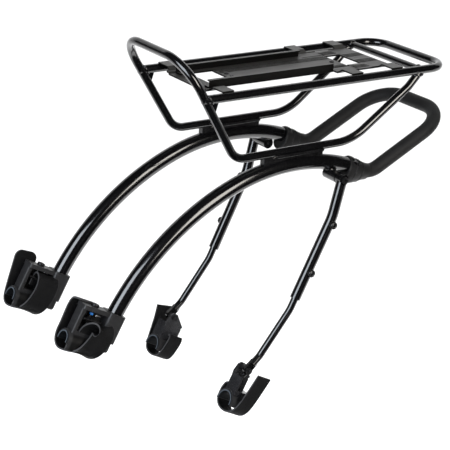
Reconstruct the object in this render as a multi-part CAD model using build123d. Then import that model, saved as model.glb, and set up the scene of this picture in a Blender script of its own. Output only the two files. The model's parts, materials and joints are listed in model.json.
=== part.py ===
from build123d import *
import math
import os

# Rear rack that straps to a bicycle's seat stays, in millimetres.
# X runs rearward, Y to the rider's right, Z up. The origin lies on the symmetry plane,
# midway between the axes of the two front cradles, where the seat stays pass.

# Layout across the rack, as half-widths from the symmetry plane
ARC_Y = 66.5
DECK_Y = 70.0
HOOP_TOP_Y = 72.0
LOWER_RAIL_Y = 66.5
LOOP_Y = 65.0
STRUT_Y = 91.5
STRUT_FOOT_Y = 87.5

# Tubes, as outer radius and wall
ARC_R = 9.4
HOOP_R = 5.0
DECK_R = 5.2
CROSS_R = 4.2
LOOP_CORE_R = 6.0
LOOP_COVER_R = 8.7
STRUT_R = 6.5
ROD_R = 4.5
TUBE_WALL = 1.5
SLIDE_CLEARANCE = 0.05

# Side view of the tube frame
STAY_ANGLE = 28.0
ARC_ENTRY = (44.2, 26.7)
ARC_ENTRY_ANGLE = 58.7
ARC_BENDS = ((306.0, 37.7), (238.0, 40.3))
ARC_BURIED = 26.0
ARC_TAIL = 12.0
DECK_Z = 263.0
DECK_FRONT_X = 149.0
DECK_REAR_X = 504.0
DECK_CORNER_R = 27.0
HOOP_TOP = (124.8, 308.3)
HOOP_CORNER_R = 40.0
LOWER_RAIL_Z = 186.0
LEG_FOOT_X = 197.6
LEG_BEND_R = 24.0
RAIL_SPLIT_X = 262.0
RISE_FOOT_X = 365.3
RISE_TOP = (444.0, 243.8)
RISE_END = (458.0, 258.6)
RISE_BEND_R = 65.0
RISE_TOP_BEND_R = 30.0
CROSS_X = 462.0

# Rear loop
LOOP_START = (374.0, 151.5)
LOOP_DIP = (398.0, 139.5)
LOOP_REAR = (516.5, 198.8)
LOOP_DIP_R = 26.0
LOOP_CORNER_R = 42.0
SLEEVE_SECTIONS = (
    (-1.0, 12.0, 14.6, 4.6),
    (10.0, 12.2, 15.4, 5.6),
    (22.0, 11.2, 12.6, 3.2),
    (33.0, 10.2, 10.4, 0.2),
)

# Bag track on the deck
TRACK_FRONT_X = 179.0
TRACK_REAR_X = 354.0
TRACK_HALF = 36.5
TRACK_TOP_Z = 274.0
PLATE_TOP_Z = 266.0
PLATE_THICK = 2.0
PLATE_FRONT_X = 222.0
PLATE_REAR_X = 384.0
FRONT_PLATE = (171.0, 193.0)
FRONT_TABS = (175.0, 190.0)
MIDDLE_PLATE = (354.4, 386.0)
MIDDLE_TABS = (357.0, 373.0)
REAR_PLATE = (407.0, 436.0)
REAR_TABS = (417.0, 433.0)
PLATE_HALF = 25.5
SHEET = 1.8
TAB_Y = 70.0
TAB_INNER_Y = 50.0
CENTRE_Y = 44.0
STRIP_INNER_Y = 22.0

# Struts
PIVOT = (335.5, 148.8)
PIVOT_BOSS_R = 7.0
PIVOT_BOSS_INNER_Y = 61.5
STRUT_BEND = (324.5, 103.0)
STRUT_END = (276.8, 7.0)
STRUT_BEND_R = 70.0
ROD_OVERLAP = 62.0
ROD_STRAIGHT = 14.8
ROD_KINK = (229.5, -58.0)
FOOT_BOLT = (212.0, -73.0)
STRUT_LEAN = {"left": 0.0, "right": -0.9}
ROD_FLAT = 14.0
ROD_FLAT_HALF = 2.0
JOINT_GAP = 0.3
BOLT_R = 2.5

# Feet, measured along the seat stay (s) and square to it (n) from the cradle's axis
CRADLE_R = 9.5
CRADLE_WALL = 2.4
PAD_THICK = 1.2
FOOT_FRONT = -21.0
SOCKET_FRONT = 14.3
SOCKET_REAR = 36.5
SOCKET_HALF = 11.4
TENSION_S = -3.0
TENSION_R = 2.0
PIN_W = -6.6
PIN_N = 30.0
FOOT_TOP = 45.0
STRAP_THICK = 2.0
ARC_STRAP_WIDTH = 28.0
STRUT_STRAP_WIDTH = 20.0
STRUT_CRADLE_R = 12.5
BOLT_S = -6.0
BOLT_N = 43.5
BRACKET_W = STRUT_Y - STRUT_FOOT_Y - 12.0
ROD_W = STRUT_Y - STRUT_FOOT_Y

os.makedirs("parts", exist_ok=True)
SIDES = {"left": -1, "right": 1}


def at(x_z, y):
    """The point of the side view x_z, set out sideways by y."""
    return (x_z[0], y, x_z[1])


def ring_section(path, outer, inner):
    """The tube's section square to the start of its path."""
    start = Plane(origin=path @ 0, z_dir=path % 0)
    face = Circle(outer)
    if inner > 0:
        face -= Circle(inner)
    return start * face


def tube(path, outer, inner=0.0):
    """A tube of round section along a path."""
    return sweep(ring_section(path, outer, inner), path=path)


def bent_tube(points, radii, outer, inner=0.0):
    """A tube of straight runs joined by bends of the given centreline radii."""
    return tube(FilletPolyline(*points, radius=radii), outer, inner)


def bar(start, end, radius, inner=0.0):
    """A straight round bar or tube between two points."""
    return tube(Line(start, end), radius, inner)


def y_bar(x_z, y_from, y_to, radius, inner=0.0):
    """A round bar or tube along Y, centred on a point of the side view."""
    return bar(at(x_z, y_from), at(x_z, y_to), radius, inner)


def side_plate(outline, y_from, y_to, side=1):
    """A plate cut to an outline in the side view, from one half-width to another."""
    face = make_face(Polyline(*[at(point, side * y_from) for point in outline], close=True))
    return extrude(face, amount=y_to - y_from, dir=(0, side, 0))


def save(node, shape):
    """Write one sub-part as its own file."""
    export_step(shape, f"parts/{node}.step")


def along_stay(s, w, n, origin=(0.0, 0.0), centre_y=0.0):
    """A point given along the stay, sideways and square to the stay."""
    angle = math.radians(STAY_ANGLE)
    x = origin[0] + s * math.cos(angle) + n * math.sin(angle)
    z = origin[1] - s * math.sin(angle) + n * math.cos(angle)
    return (x, centre_y + w, z)


def stay_plane(origin=(0.0, 0.0), centre_y=0.0):
    """Local frame of a foot: X along the stay, Y sideways, Z square to the stay."""
    return Plane(
        origin=at(origin, centre_y),
        x_dir=Vector(*along_stay(1, 0, 0)),
        z_dir=Vector(*along_stay(0, 0, 1)),
    )


def block(s_range, w_range, n_range, round_edges=0.0, axis=Axis.Z):
    """A block between three pairs of limits in a foot's local frame."""
    size = [high - low for low, high in (s_range, w_range, n_range)]
    middle = [(high + low) / 2 for low, high in (s_range, w_range, n_range)]
    shape = Pos(*middle) * Box(*size)
    if round_edges > 0:
        shape = fillet(shape.edges().filter_by(axis), round_edges)
    return shape


def band(line, radii, width, leads):
    """A flat strap whose cross-section follows a line of (w, n) points in a foot's frame.

    leads gives how far the strap's middle has moved along the stay, at the start, at a
    share of its length and at its end, so that it winds like part of a helix.
    """
    path = FilletPolyline(*[(0.0, w, n) for w, n in line], radius=radii)
    steps = 8 * len(line)
    sections = []
    for step in range(steps + 1):
        share = step / steps
        for (share_from, lead_from), (share_to, lead_to) in zip(leads, leads[1:]):
            if share_from <= share <= share_to:
                lead = lead_from + (lead_to - lead_from) * (share - share_from) / (share_to - share_from)
        square = Plane(origin=path @ share, x_dir=(1, 0, 0), z_dir=path % share)
        sections.append(square * Pos(lead, 0) * Rectangle(width, STRAP_THICK))
    return loft(sections, ruled=True)


def unit(start, end):
    """Direction from one point of the side view to another."""
    length = math.dist(start, end)
    return ((end[0] - start[0]) / length, (end[1] - start[1]) / length)


def moved(x_z, direction, distance):
    """The point of the side view a distance along a direction."""
    return (x_z[0] + direction[0] * distance, x_z[1] + direction[1] * distance)


# Front arcs: two round bends that run into each other, from the front foot to the rear sleeve
def arc_edges(y):
    """The two bends of an arc tube's centreline."""
    angle = math.radians(ARC_ENTRY_ANGLE)
    place = Vector(*at(ARC_ENTRY, y))
    edges = []
    for radius, turn in ARC_BENDS:
        centre = place + Vector(math.sin(angle), 0, -math.cos(angle)) * radius
        half = angle - math.radians(turn / 2)
        angle -= math.radians(turn)
        middle = centre + Vector(-math.sin(half), 0, math.cos(half)) * radius
        end = centre + Vector(-math.sin(angle), 0, math.cos(angle)) * radius
        edges.append(ThreePointArc(place, middle, end))
        place = end
    return edges


def arc_path(y):
    """Centreline of an arc tube, with the straight ends inside the foot and the sleeve."""
    bends = arc_edges(y)
    first = bends[0] @ 0
    last = bends[-1] @ 1
    buried = Line(first - (bends[0] % 0) * ARC_BURIED, first)
    tail = Line(last, last + (bends[-1] % 1) * ARC_TAIL)
    return Wire([buried, *bends, tail])


def arc_tube(y):
    """A front arc tube."""
    return tube(arc_path(y), ARC_R, ARC_R - TUBE_WALL)


# Hoop, legs and side rails
def front_hoop():
    """The raised hoop with its two legs and the front of both lower rails."""
    left = [
        at((RAIL_SPLIT_X, LOWER_RAIL_Z), -LOWER_RAIL_Y),
        at((LEG_FOOT_X, LOWER_RAIL_Z), -LOWER_RAIL_Y),
        at(HOOP_TOP, -HOOP_TOP_Y),
    ]
    right = [(x, -y, z) for x, y, z in reversed(left)]
    radii = [LEG_BEND_R, HOOP_CORNER_R, HOOP_CORNER_R, LEG_BEND_R]
    return bent_tube(left + right, radii, HOOP_R, HOOP_R - TUBE_WALL)


def leg_space(side):
    """The space that a leg takes, for coping other pieces to it."""
    foot = at((LEG_FOOT_X, LOWER_RAIL_Z), side * LOWER_RAIL_Y)
    return bar(foot, at(HOOP_TOP, side * HOOP_TOP_Y), HOOP_R)


def deck_rail_space(side):
    """The space that a deck rail takes, for coping other pieces to it."""
    y = side * DECK_Y
    return bar((DECK_FRONT_X, y, DECK_Z), (DECK_REAR_X, y, DECK_Z), DECK_R)


def side_rail(side):
    """The rear of a lower rail, with the rise up to the deck."""
    points = [
        at((RAIL_SPLIT_X, LOWER_RAIL_Z), side * LOWER_RAIL_Y),
        at((RISE_FOOT_X, LOWER_RAIL_Z), side * LOWER_RAIL_Y),
        at(RISE_TOP, side * DECK_Y),
        at(RISE_END, side * DECK_Y),
    ]
    rail = bent_tube(points, [RISE_BEND_R, RISE_TOP_BEND_R], HOOP_R, HOOP_R - TUBE_WALL)
    return rail - deck_rail_space(side)


def deck_frame():
    """The deck's U-shaped tube, coped to the hoop's legs at its front ends."""
    points = [
        (DECK_FRONT_X, -DECK_Y, DECK_Z),
        (DECK_REAR_X, -DECK_Y, DECK_Z),
        (DECK_REAR_X, DECK_Y, DECK_Z),
        (DECK_FRONT_X, DECK_Y, DECK_Z),
    ]
    frame = bent_tube(points, [DECK_CORNER_R, DECK_CORNER_R], DECK_R, DECK_R - TUBE_WALL)
    for side in (-1, 1):
        frame -= leg_space(side)
    return max(frame.solids(), key=lambda solid: solid.volume)


def cross_tube():
    """The tube between the deck's side rails, behind the track."""
    body = y_bar((CROSS_X, DECK_Z), -DECK_Y, DECK_Y, CROSS_R, CROSS_R - 1.2)
    for side in (-1, 1):
        body -= deck_rail_space(side)
    return body


def leg_lug(side):
    """The small gusset in the corner under a deck rail, behind the leg."""
    leg_direction = unit((LEG_FOOT_X, LOWER_RAIL_Z), HOOP_TOP)
    outline = [
        moved((LEG_FOOT_X, LOWER_RAIL_Z), leg_direction, 66.0),
        (DECK_FRONT_X + 20.0, DECK_Z - DECK_R + 1.0),
        (DECK_FRONT_X + 20.0, DECK_Z),
        moved((LEG_FOOT_X, LOWER_RAIL_Z), leg_direction, 89.0),
    ]
    plate = side_plate(outline, DECK_Y - 1.5, DECK_Y + 1.5, side)
    plate -= deck_rail_space(side) + leg_space(side)
    return max(plate.solids(), key=lambda solid: solid.volume)


# Deck plates and bag track
def plate_profile(centre_z, low_half):
    """Half of a cross plate's section along Y, from the symmetry plane to the tab's tip."""
    high = DECK_Z + DECK_R
    side_z = PLATE_TOP_Z
    lower = [
        (0.0, centre_z - SHEET),
        (low_half + 1.6, centre_z - SHEET),
        (low_half + 3.6, side_z - SHEET),
        (CENTRE_Y, side_z - SHEET),
        (TAB_INNER_Y, high),
        (TAB_Y, high),
    ]
    upper = [
        (TAB_Y, high + SHEET),
        (TAB_INNER_Y - 0.8, high + SHEET),
        (CENTRE_Y - 0.8, side_z),
        (low_half + 2.8, side_z),
        (low_half + 0.8, centre_z),
        (0.0, centre_z),
    ]
    return lower, upper


def cross_plate(x_range, tab_range, centre_z, low_half, ribs=()):
    """A pressed cross plate: low in the middle, with tabs that lie on the deck rails."""
    lower, upper = plate_profile(centre_z, low_half)
    outline = [(-y, z) for y, z in reversed(lower[1:])] + lower[1:]
    outline += upper[:-1] + [(-y, z) for y, z in reversed(upper[:-1])]
    full = make_face(Polyline(*[(x_range[0], y, z) for y, z in outline], close=True))
    plate = extrude(full, amount=x_range[1] - x_range[0], dir=(1, 0, 0))
    top = DECK_Z + DECK_R + SHEET + 1.0
    for side in (-1, 1):
        for cut_from, cut_to in ((x_range[0], tab_range[0]), (tab_range[1], x_range[1])):
            if cut_to > cut_from:
                notch = Box(cut_to - cut_from, TAB_Y - CENTRE_Y + 1.0, 12.0)
                y = side * (CENTRE_Y + TAB_Y + 1.0) / 2
                plate -= Pos((cut_from + cut_to) / 2, y, top - 6.0) * notch
    length = x_range[1] - x_range[0] - 3.0
    for y in ribs:
        plate += Pos((x_range[0] + x_range[1]) / 2, y, centre_z + 0.2) * Box(length, 1.3, 0.7)
    return plate


def rear_strips():
    """The two ribbed strips that join the middle and rear cross plates."""
    length = REAR_PLATE[0] - MIDDLE_PLATE[1]
    middle = (REAR_PLATE[0] + MIDDLE_PLATE[1]) / 2
    strips = []
    for side in (-1, 1):
        width = CENTRE_Y - STRIP_INNER_Y
        centre = side * (CENTRE_Y + STRIP_INNER_Y) / 2
        strip = Pos(middle, centre, PLATE_TOP_Z - SHEET / 2) * Box(length, width, SHEET)
        for offset in (-4.0, 0.0, 4.0):
            strip += Pos(middle, centre + offset, PLATE_TOP_Z + 0.2) * Box(length, 1.3, 0.7)
        strips.append(strip)
    return strips


def track_plate():
    """The centre plate of the bag track, with two groups of raised ribs."""
    length = PLATE_REAR_X - PLATE_FRONT_X
    middle = (PLATE_REAR_X + PLATE_FRONT_X) / 2
    plate = Pos(middle, 0, PLATE_TOP_Z - PLATE_THICK / 2) * Box(length, 2 * PLATE_HALF, PLATE_THICK)
    for y in (-23.0, -20.0, 11.0, 14.5, 18.0, 21.5):
        plate += Pos(middle, y, PLATE_TOP_Z + 0.2) * Box(length - 4, 1.3, 0.7)
    return plate


def track_channel(side):
    """A side channel of the bag track: foot, wall and inward lip."""
    section = [
        (TRACK_HALF, PLATE_TOP_Z - PLATE_THICK),
        (TRACK_HALF, TRACK_TOP_Z),
        (TRACK_HALF - 5.0, TRACK_TOP_Z),
        (TRACK_HALF - 5.0, TRACK_TOP_Z - 1.6),
        (TRACK_HALF - 1.8, TRACK_TOP_Z - 1.6),
        (TRACK_HALF - 1.8, PLATE_TOP_Z),
        (PLATE_HALF + 0.4, PLATE_TOP_Z),
        (PLATE_HALF + 0.4, PLATE_TOP_Z - PLATE_THICK),
    ]
    outline = Polyline(*[(TRACK_FRONT_X, side * y, z) for y, z in section], close=True)
    return extrude(make_face(outline), amount=TRACK_REAR_X - TRACK_FRONT_X, dir=(1, 0, 0))


def screw_heads(places, face_z, up):
    """Low round-headed screws on a face, with a socket each; up is 1 or -1."""
    screws = []
    for x, y in places:
        head = Pos(x, y, face_z + up * 0.6) * Cylinder(2.8, 1.2)
        screws.append(head - Pos(x, y, face_z + up * 1.0) * Cylinder(1.3, 0.8))
    return screws


# Brackets between the side rails and the arcs
def side_bracket(side):
    """The saddle that ties a lower rail down to its arc."""
    outline = [
        (236.0, LOWER_RAIL_Z - 1.0),
        (246.0, LOWER_RAIL_Z - 1.0),
        (249.0, LOWER_RAIL_Z - 4.0),
        (256.0, LOWER_RAIL_Z),
        (321.0, LOWER_RAIL_Z),
        (318.0, 164.0),
        (300.0, 166.0),
        (252.0, 162.0),
        (247.0, 172.0),
        (237.0, 164.0),
    ]
    saddle = side_plate(outline, ARC_Y - ARC_R - 0.6, ARC_Y + ARC_R + 0.6, side)
    saddle -= tube(arc_path(side * ARC_Y), ARC_R)
    y = side * LOWER_RAIL_Y
    saddle -= bar((200.0, y, LOWER_RAIL_Z), (350.0, y, LOWER_RAIL_Z), HOOP_R)
    return max(saddle.solids(), key=lambda solid: solid.volume)


# Sleeves and rear loop
def loop_path():
    """Centreline of the rear loop, from sleeve to sleeve."""
    points = [
        at(LOOP_START, -LOOP_Y),
        at(LOOP_DIP, -LOOP_Y),
        at(LOOP_REAR, -LOOP_Y),
        at(LOOP_REAR, LOOP_Y),
        at(LOOP_DIP, LOOP_Y),
        at(LOOP_START, LOOP_Y),
    ]
    return FilletPolyline(*points, radius=[LOOP_DIP_R, LOOP_CORNER_R, LOOP_CORNER_R, LOOP_DIP_R])


def sleeve(side):
    """The moulded sleeve that joins an arc tube to the rear loop, deeper below than above."""
    last_bend = arc_edges(side * ARC_Y)[-1]
    front = (last_bend @ 1).X, (last_bend @ 1).Z
    direction = unit(front, LOOP_DIP)
    sections = []
    for distance, half_width, half_height, drop in SLEEVE_SECTIONS:
        place = moved(front, direction, distance)
        plane = Plane(
            origin=at(place, side * (ARC_Y + LOOP_Y) / 2),
            x_dir=(0, 1, 0),
            z_dir=(direction[0], 0, direction[1]),
        )
        down = -drop if plane.y_dir.Z > 0 else drop
        sections.append(plane * Pos(0, down) * Ellipse(half_width, half_height))
    body = loft(sections)
    body -= tube(arc_path(side * ARC_Y), ARC_R)
    return body - tube(loop_path(), LOOP_COVER_R)


# Struts
def strut_boss(side):
    """The boss welded under an arc, which carries the strut's pivot bolt."""
    boss = y_bar(PIVOT, side * PIVOT_BOSS_INNER_Y, side * (STRUT_Y - STRUT_R - 0.5), PIVOT_BOSS_R)
    boss -= tube(arc_path(side * ARC_Y), ARC_R)
    boss -= y_bar(PIVOT, side * (STRUT_Y - 30.0), side * STRUT_Y, BOLT_R)
    return boss


def pivot_bolt(side):
    """The bolt on which a strut swings."""
    shank = y_bar(PIVOT, side * (STRUT_Y - 29.0), side * (STRUT_Y + 6.0), BOLT_R)
    head = y_bar(PIVOT, side * (STRUT_Y + 4.0 + JOINT_GAP), side * (STRUT_Y + 6.8), 4.4)
    socket = y_bar(PIVOT, side * (STRUT_Y + 5.0), side * (STRUT_Y + 8.0), 2.0)
    return shank + head - socket


def strut_tube(side):
    """The strut's upper tube: spot-faced top on the pivot, bend and open lower end."""
    y = side * STRUT_Y
    top = moved(PIVOT, unit(PIVOT, STRUT_BEND), 2.0)
    body = bent_tube([at(top, y), at(STRUT_BEND, y), at(STRUT_END, y)], [STRUT_BEND_R], STRUT_R)
    body += y_bar(PIVOT, side * (STRUT_Y - 6.0), side * (STRUT_Y + 4.0), STRUT_R)
    body -= y_bar(PIVOT, side * (STRUT_Y + 4.0), side * (STRUT_Y + 9.0), 5.6)
    body -= y_bar(PIVOT, side * (STRUT_Y - 8.0), side * (STRUT_Y + 8.0), BOLT_R + SLIDE_CLEARANCE)
    direction = unit(STRUT_END, STRUT_BEND)
    bore_top = moved(STRUT_END, direction, ROD_OVERLAP + 8.0)
    below = moved(STRUT_END, direction, -2.0)
    return body - bar(at(below, y), at(bore_top, y), ROD_R + SLIDE_CLEARANCE)


def clamp_bolts(side):
    """The two small bolts that lock a strut's length, on its outboard face."""
    direction = unit(STRUT_END, STRUT_BEND)
    bolts = []
    for distance in (36.0, 99.0):
        place = moved(STRUT_END, direction, distance)
        boss = y_bar(place, side * (STRUT_Y + 4.0), side * (STRUT_Y + 7.6), 4.2)
        head = y_bar(place, side * (STRUT_Y + 7.6), side * (STRUT_Y + 10.2), 3.4)
        head -= y_bar(place, side * (STRUT_Y + 8.6), side * (STRUT_Y + 11.0), 1.6)
        boss -= bar(at(STRUT_END, side * STRUT_Y), at(STRUT_BEND, side * STRUT_Y), STRUT_R)
        bolts.append(boss + head)
    return bolts


def strut_rod(side):
    """The strut's lower rod: straight in the tube, bent twice, flattened at its end."""
    y = side * STRUT_Y
    direction = unit(STRUT_END, STRUT_BEND)
    inside = moved(STRUT_END, direction, ROD_OVERLAP)
    bend = moved(STRUT_END, direction, -ROD_STRAIGHT)
    towards_kink = unit(FOOT_BOLT, ROD_KINK)
    flat_start = moved(FOOT_BOLT, towards_kink, ROD_FLAT - 4.0)
    points = [at(inside, y), at(bend, y), at(ROD_KINK, y), at(flat_start, y)]
    body = bent_tube(points, [45.0, 20.0], ROD_R)
    across = (-towards_kink[1], towards_kink[0])
    outline = [
        moved(moved(FOOT_BOLT, towards_kink, ROD_FLAT), across, 5.0),
        moved(moved(FOOT_BOLT, towards_kink, -1.0), across, 5.6),
        moved(moved(FOOT_BOLT, towards_kink, -1.0), across, -5.6),
        moved(moved(FOOT_BOLT, towards_kink, ROD_FLAT), across, -5.0),
    ]
    inner, outer = STRUT_Y - ROD_FLAT_HALF, STRUT_Y + ROD_FLAT_HALF
    body += side_plate(outline, inner, outer, side)
    body += y_bar(FOOT_BOLT, side * inner, side * outer, 5.6)
    hole = y_bar(FOOT_BOLT, side * (inner - 5), side * (outer + 5), BOLT_R + SLIDE_CLEARANCE)
    return body - hole


# Strut feet, modelled for the right side in their own frame and mirrored for the left
def stay_bar(s_range, radius):
    """A round bar on a foot's local X axis, where the stay lies."""
    return Pos((s_range[0] + s_range[1]) / 2, 0, 0) * Rot(0, 90, 0) * Cylinder(radius, s_range[1] - s_range[0])


def cradle_arch(s_range, radius, height):
    """An arch open below, round a stay that lies on the local X axis."""
    outer = radius + CRADLE_WALL
    past = (s_range[0] - 1.0, s_range[1] + 1.0)
    arch = stay_bar(s_range, outer)
    arch += block(s_range, (-outer, outer), (-height, 0.0))
    arch -= stay_bar(past, radius)
    arch -= block(past, (-radius, radius), (-height - 20, 0.0))
    return arch - block(past, (-30, 30), (-height - 20, -height))


def cradle_pad(s_range, radius, height):
    """The soft liner inside a cradle arch."""
    past = (s_range[0] - 1.0, s_range[1] + 1.0)
    pad = stay_bar(s_range, radius) - stay_bar(past, radius - PAD_THICK)
    return pad - block(past, (-30, 30), (-30, -height))


def strut_bracket():
    """The sheet bracket between a strut's end bolt and its cradle."""
    outer = STRUT_CRADLE_R + CRADLE_WALL
    outline = [
        (BOLT_S - 7.0, BOLT_N + 2.0),
        (BOLT_S - 3.0, BOLT_N + 5.5),
        (BOLT_S + 3.0, BOLT_N + 5.0),
        (BOLT_S + 19.0, BOLT_N - 9.0),
        (BOLT_S + 15.0, BOLT_N - 14.0),
        (BOLT_S - 8.0, BOLT_N - 14.0),
        (BOLT_S - 9.0, BOLT_N - 7.0),
    ]
    face = make_face(Polyline(*[(s, BRACKET_W, n) for s, n in outline], close=True))
    bracket = extrude(face, amount=2.0, dir=(0, 1, 0))
    bracket += block((-14.0, -11.5), (BRACKET_W, 11.0), (outer - 4.0, BOLT_N - 9.0))
    bracket += block((-14.0, 12.0), (BRACKET_W, BRACKET_W + 2.0), (outer - 4.0, BOLT_N - 12.0))
    bracket += block((-14.0, 12.0), (BRACKET_W, 11.0), (outer - 4.0, outer + 2.0))
    bracket -= stay_bar((-30.0, 30.0), outer)
    return bracket - foot_bolt_bar(-30.0, 30.0, BOLT_R)


def foot_bolt_bar(w_from, w_to, radius):
    """A round bar on the axis of a strut foot's bolt."""
    return Pos(BOLT_S, (w_from + w_to) / 2, BOLT_N) * Rot(90, 0, 0) * Cylinder(radius, w_to - w_from)


def strut_foot_bolt():
    """The bolt and spacer on which a strut foot turns."""
    rod_inner = ROD_W - ROD_FLAT_HALF - JOINT_GAP
    rod_outer = ROD_W + ROD_FLAT_HALF + JOINT_GAP
    bolt = foot_bolt_bar(BRACKET_W - 2.4, rod_outer + 1.0, BOLT_R)
    bolt += foot_bolt_bar(BRACKET_W + 2.0, rod_inner, 4.2)
    bolt += foot_bolt_bar(BRACKET_W - 2.4, BRACKET_W, 3.6)
    bolt += foot_bolt_bar(rod_outer, rod_outer + 2.8, 4.2)
    return bolt - foot_bolt_bar(rod_outer + 1.4, rod_outer + 3.0, 1.8)


def strut_cradle():
    """The cradle arch that a strut foot sets on the stay."""
    return cradle_arch((-14.5, 13.0), STRUT_CRADLE_R, 2.5)


def strut_strap(free_end):
    """The strap that ties a strut foot to the stay, with its free end standing outboard."""
    reach = STRUT_CRADLE_R + CRADLE_WALL + STRAP_THICK / 2 + 0.4
    bottom = -STRUT_CRADLE_R + 0.1
    line = [
        (-reach - 2.0, 22.0),
        (-reach, bottom),
        (reach, bottom),
        (reach + free_end[1], free_end[2]),
    ]
    leads = [(0.0, 2.0), (0.5, 0.0), (1.0, free_end[0])]
    return band(line, [9.5, 9.5], STRUT_STRAP_WIDTH, leads)


# Arc feet, in their own frame
def arc_foot_block():
    """The moulded foot: socket for the arc tube, top flange, front wall, cradle and tab."""
    below_top = FOOT_TOP - 5.0
    saddle_top = CRADLE_R + CRADLE_WALL + 2.0
    body = block((FOOT_FRONT, SOCKET_REAR), (-9.0, 9.0), (below_top, FOOT_TOP), 3.0)
    body += block((FOOT_FRONT, FOOT_FRONT + 6.0), (-7.0, 7.0), (CRADLE_R, below_top + 1.0), 2.0)
    body += block((SOCKET_FRONT, SOCKET_REAR), (-SOCKET_HALF, SOCKET_HALF), (12.0, FOOT_TOP + 0.5), 4.0)
    body += block((FOOT_FRONT + 2.0, 18.0), (4.0, 7.0), (CRADLE_R, below_top + 1.0))
    body += block((24.0, SOCKET_REAR), (-4.5, 4.5), (-1.0, 13.0), 3.0, Axis.Y)
    body += block((FOOT_FRONT + 2.0, 16.0), (-7.0, 7.0), (CRADLE_R, saddle_top))
    body += cradle_arch((FOOT_FRONT - 3.0, 21.0), CRADLE_R, 3.0)
    return body - Pos(TENSION_S, 0, FOOT_TOP) * Cylinder(TENSION_R + SLIDE_CLEARANCE, 20.0)


def tension_screw():
    """The screw that draws the strap tight: domed head, shank down into the anchor."""
    head = Pos(TENSION_S, 0, FOOT_TOP + 0.3 + 1.6) * Cylinder(4.6, 3.2)
    head = fillet(head.edges().filter_by(GeomType.CIRCLE).sort_by(Axis.Z)[-1:], 1.3)
    socket = Pos(TENSION_S, 0, FOOT_TOP + 2.0) * extrude(RegularPolygon(2.0, 6), 3.0)
    shank = Pos(TENSION_S, 0, FOOT_TOP - 12.0) * Cylinder(TENSION_R, 26.0)
    return head + shank - socket


def strap_anchor():
    """The nut block on the tension screw, with the pin that the strap loops round."""
    anchor = block((TENSION_S - 5.0, TENSION_S + 5.0), (-2.4, 3.6), (25.0, 33.0))
    anchor += block((TENSION_S - 1.5, TENSION_S + 1.5), (PIN_W, -2.0), (PIN_N - 1.4, PIN_N + 1.4))
    anchor += Pos(TENSION_S, PIN_W, PIN_N) * Rot(0, 90, 0) * Cylinder(1.5, 24.0)
    return anchor - Pos(TENSION_S, 0, 28.0) * Cylinder(TENSION_R + SLIDE_CLEARANCE, 20.0)


def arc_strap(free_end, leads):
    """The wide strap of a front foot: looped on its pin, under the stay and up behind."""
    reach = CRADLE_R + CRADLE_WALL + STRAP_THICK / 2 + 0.4
    bottom = -CRADLE_R - 2.7
    line = [
        (PIN_W + 3.0, 18.0),
        (PIN_W + 3.0, PIN_N + 3.0),
        (PIN_W - 3.0, PIN_N + 3.0),
        (-reach, 14.0),
        (-reach, bottom),
        (reach, bottom),
        *free_end,
    ]
    radii = [2.7, 2.7, 12.0, 11.0, 11.0] + [6.0] * (len(free_end) - 1)
    strap = band(line, radii, ARC_STRAP_WIDTH, leads)
    slot = block((TENSION_S - 2.0, TENSION_S + 2.0), (PIN_W + 1.0, -1.0), (PIN_N - 2.0, PIN_N + 2.0))
    return strap - slot


def place_foot(shape, foot, side):
    """Set a strut foot's piece in its foot frame, mirrored on the left."""
    return foot * (shape if side > 0 else mirror(shape, Plane.XZ))


def build_deck():
    """Write the pieces on and under the deck's middle."""
    low_top = PLATE_TOP_Z - PLATE_THICK
    save("front_hoop", front_hoop())
    save("deck_frame", deck_frame())
    save("rear_cross_tube", cross_tube())
    rear_ribs = (-18.0, -13.5, -9.0, 9.0, 13.5, 18.0)
    front = cross_plate(FRONT_PLATE, FRONT_TABS, low_top, TRACK_HALF + 0.5)
    middle = cross_plate(MIDDLE_PLATE, MIDDLE_TABS, low_top, PLATE_HALF)
    rear = cross_plate(REAR_PLATE, REAR_TABS, PLATE_TOP_Z - 0.01, PLATE_HALF, rear_ribs)
    save("front_cross_plate", front)
    save("middle_cross_plate", middle)
    save("rear_cross_plate", rear)
    save("rear_strips", Compound(rear_strips()))
    save("track_plate", track_plate())
    places = [(PLATE_FRONT_X + 7.0, -8.0), (PLATE_FRONT_X + 7.0, 5.0), (PLATE_REAR_X - 8.0, -4.0)]
    save("track_plate_screws", Compound(screw_heads(places, PLATE_TOP_Z, 1)))
    tabs = [(x, side * 58.0) for x in (182.5, 365.0, 425.0) for side in (-1, 1)]
    save("tab_screws", Compound(screw_heads(tabs, DECK_Z + DECK_R, -1)))
    save("rear_loop_cover", tube(loop_path(), LOOP_COVER_R, LOOP_CORE_R))
    save("rear_loop_core", tube(loop_path(), LOOP_CORE_R, LOOP_CORE_R - TUBE_WALL))


def build_side(name, side):
    """Write the pieces of one side of the rack."""
    save(f"arc_tube_{name}", arc_tube(side * ARC_Y))
    save(f"side_rail_{name}", side_rail(side))
    save(f"leg_lug_{name}", leg_lug(side))
    save(f"track_channel_{name}", track_channel(side))
    save(f"side_bracket_{name}", side_bracket(side))
    save(f"elbow_sleeve_{name}", sleeve(side))
    save(f"strut_boss_{name}", strut_boss(side))
    save(f"strut_pivot_bolt_{name}", pivot_bolt(side))
    lean = Rot(0, STRUT_LEAN[name], 0)
    swing = Pos(*at(PIVOT, 0.0)) * lean * Pos(*at((-PIVOT[0], -PIVOT[1]), 0.0))
    save(f"strut_tube_{name}", swing * strut_tube(side))
    save(f"strut_clamp_bolts_{name}", swing * Compound(clamp_bolts(side)))
    save(f"strut_rod_{name}", swing * strut_rod(side))


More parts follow.
